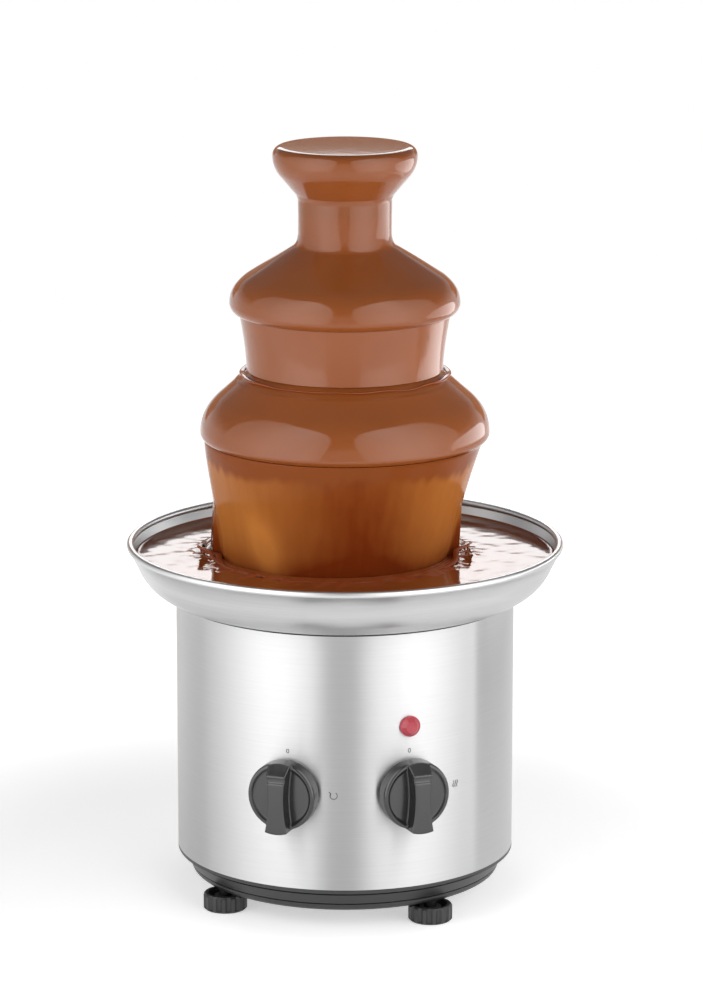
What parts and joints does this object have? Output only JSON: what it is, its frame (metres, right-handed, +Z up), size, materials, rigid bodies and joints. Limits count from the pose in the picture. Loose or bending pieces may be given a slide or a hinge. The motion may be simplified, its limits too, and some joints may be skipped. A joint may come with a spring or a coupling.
{
  "type": "chocolate fountain",
  "caption": "Table-top chocolate fountain: heated steel bowl on a drum base, with an auger column that feeds chocolate over stacked bell tiers.",
  "frame": {"origin": "on the floor under the column's axis", "axes": "+Z up along the column, -Y to the front with the switches, +X to its right"},
  "size_m": [0.21, 0.21, 0.3645],
  "materials": {
    "stainless": "brushed stainless sheet",
    "black_plastic": "satin moulded black",
    "black_rubber": "matt silicone",
    "zinc_steel": "zinc plated",
    "cast_aluminium": "as cast",
    "element_steel": "dark oxidised sheath",
    "moulded_grey": "moulded dark grey",
    "magnet": "sintered ferrite",
    "copper_winding": "enamelled copper on laminations",
    "brass": "turned brass",
    "white_plastic": "food-safe white moulding",
    "chocolate": "wet, glossy milk chocolate",
    "chocolate_sheet": "thin wet chocolate, amber where light comes through",
    "red_lens": "clear red faceted lens"
  },
  "bodies": {
    "base": {"base_plate": "black_plastic", "housing_shell": "stainless", "bowl_gasket": "black_rubber", "bowl": "stainless", "bowl_pins": "stainless", "tie_rods": "zinc_steel", "rod_sleeves": "zinc_steel", "rod_nuts": "zinc_steel", "motor_bracket": "zinc_steel", "heater_plate": "cast_aluminium", "heating_element": "element_steel", "thermostat": "moulded_grey", "gearbox_case": "moulded_grey", "gearbox_cover": "moulded_grey", "gearbox_screws": "zinc_steel", "motor_can": "zinc_steel", "motor_end_cap": "moulded_grey", "motor_magnets": "magnet", "shaft_bush": "brass", "bush_nut": "brass", "shaft_seal": "black_rubber", "chocolate_pool": "chocolate", "motor_switch": "moulded_grey", "heat_switch": "moulded_grey", "motor_switch_nut": "zinc_steel", "heat_switch_nut": "zinc_steel", "lamp_lens": "red_lens", "lamp_body": "white_plastic", "lamp_clip": "zinc_steel", "cord_gland": "black_plastic", "terminal_block": "white_plastic"},
    "rotor": {"motor_armature": "copper_winding", "motor_pinion": "brass"},
    "drive": {"drive_gear": "white_plastic", "drive_shaft": "zinc_steel", "drive_hex": "zinc_steel"},
    "auger": {"auger": "white_plastic", "chocolate_swell": "chocolate"},
    "tower": {"column_tube": "white_plastic"},
    "lower_tier": {"lower_tier": "white_plastic", "lower_coat": "chocolate", "lower_curtain": "chocolate_sheet"},
    "upper_tier": {"upper_tier": "white_plastic", "upper_coat": "chocolate", "upper_curtain": "chocolate"},
    "crown": {"crown": "white_plastic", "crown_chocolate": "chocolate"},
    "motor_knob": {"motor_knob": "black_plastic", "motor_spindle": "zinc_steel"},
    "heat_knob": {"heat_knob": "black_plastic", "heat_spindle": "zinc_steel"},
    "foot_stud_1": {"foot_stud_1": "zinc_steel"},
    "foot_wheel_1": {"foot_wheel_1": "black_plastic"},
    "foot_stud_2": {"foot_stud_2": "zinc_steel"},
    "foot_wheel_2": {"foot_wheel_2": "black_plastic"},
    "foot_stud_3": {"foot_stud_3": "zinc_steel"},
    "foot_wheel_3": {"foot_wheel_3": "black_plastic"},
    "foot_stud_4": {"foot_stud_4": "zinc_steel"},
    "foot_wheel_4": {"foot_wheel_4": "black_plastic"}
  },
  "joints": [
    {"name": "drive_spin", "type": "hinge", "parent": "base", "child": "drive", "pos_m": [0, 0, 0.1], "axis": [0, 0, 1], "continuous": true},
    {"name": "rotor_spin", "type": "hinge", "parent": "base", "child": "rotor", "pos_m": [0, 0.036, 0.06], "axis": [0, 0, 1], "continuous": true},
    {"name": "auger_lift", "type": "slide", "parent": "drive", "child": "auger", "axis": [0, 0, 1], "range_m": [0, 0.24]},
    {"name": "tower_lift", "type": "slide", "parent": "base", "child": "tower", "axis": [0, 0, 1], "range_m": [0, 0.24]},
    {"name": "lower_tier_lift", "type": "slide", "parent": "tower", "child": "lower_tier", "axis": [0, 0, 1], "range_m": [0, 0.12]},
    {"name": "upper_tier_lift", "type": "slide", "parent": "lower_tier", "child": "upper_tier", "axis": [0, 0, 1], "range_m": [0, 0.06]},
    {"name": "crown_lift", "type": "slide", "parent": "upper_tier", "child": "crown", "axis": [0, 0, 1], "range_m": [0, 0.04]},
    {"name": "motor_knob_turn", "type": "hinge", "parent": "base", "child": "motor_knob", "pos_m": [-0.03152, -0.0843, 0.0695], "axis": [-0.3502, -0.9367, 0], "range_deg": [-90, 0]},
    {"name": "heat_knob_turn", "type": "hinge", "parent": "base", "child": "heat_knob", "pos_m": [0.03152, -0.0843, 0.0695], "axis": [0.3502, -0.9367, 0], "range_deg": [-90, 0]},
    {"name": "foot_screw_1", "type": "slide", "parent": "base", "child": "foot_stud_1", "axis": [0, 0, -1], "range_m": [0, 0.005]},
    {"name": "foot_turn_1", "type": "hinge", "parent": "foot_stud_1", "child": "foot_wheel_1", "pos_m": [0.03942, -0.05845, 0.004], "axis": [0, 0, -1], "continuous": true},
    {"name": "foot_screw_2", "type": "slide", "parent": "base", "child": "foot_stud_2", "axis": [0, 0, -1], "range_m": [0, 0.005]},
    {"name": "foot_turn_2", "type": "hinge", "parent": "foot_stud_2", "child": "foot_wheel_2", "pos_m": [0.05845, 0.03942, 0.004], "axis": [0, 0, -1], "continuous": true},
    {"name": "foot_screw_3", "type": "slide", "parent": "base", "child": "foot_stud_3", "axis": [0, 0, -1], "range_m": [0, 0.005]},
    {"name": "foot_turn_3", "type": "hinge", "parent": "foot_stud_3", "child": "foot_wheel_3", "pos_m": [-0.03942, 0.05845, 0.004], "axis": [0, 0, -1], "continuous": true},
    {"name": "foot_screw_4", "type": "slide", "parent": "base", "child": "foot_stud_4", "axis": [0, 0, -1], "range_m": [0, 0.005]},
    {"name": "foot_turn_4", "type": "hinge", "parent": "foot_stud_4", "child": "foot_wheel_4", "pos_m": [-0.05845, -0.03942, 0.004], "axis": [0, 0, -1], "continuous": true}
  ],
  "couplings": [
    {"joint": "rotor_spin", "follows": "drive_spin", "ratio": -4},
    {"joint": "foot_turn_1", "follows": "foot_screw_1", "rad_per_m": 6283.2},
    {"joint": "foot_turn_2", "follows": "foot_screw_2", "rad_per_m": 6283.2},
    {"joint": "foot_turn_3", "follows": "foot_screw_3", "rad_per_m": 6283.2},
    {"joint": "foot_turn_4", "follows": "foot_screw_4", "rad_per_m": 6283.2}
  ]
}
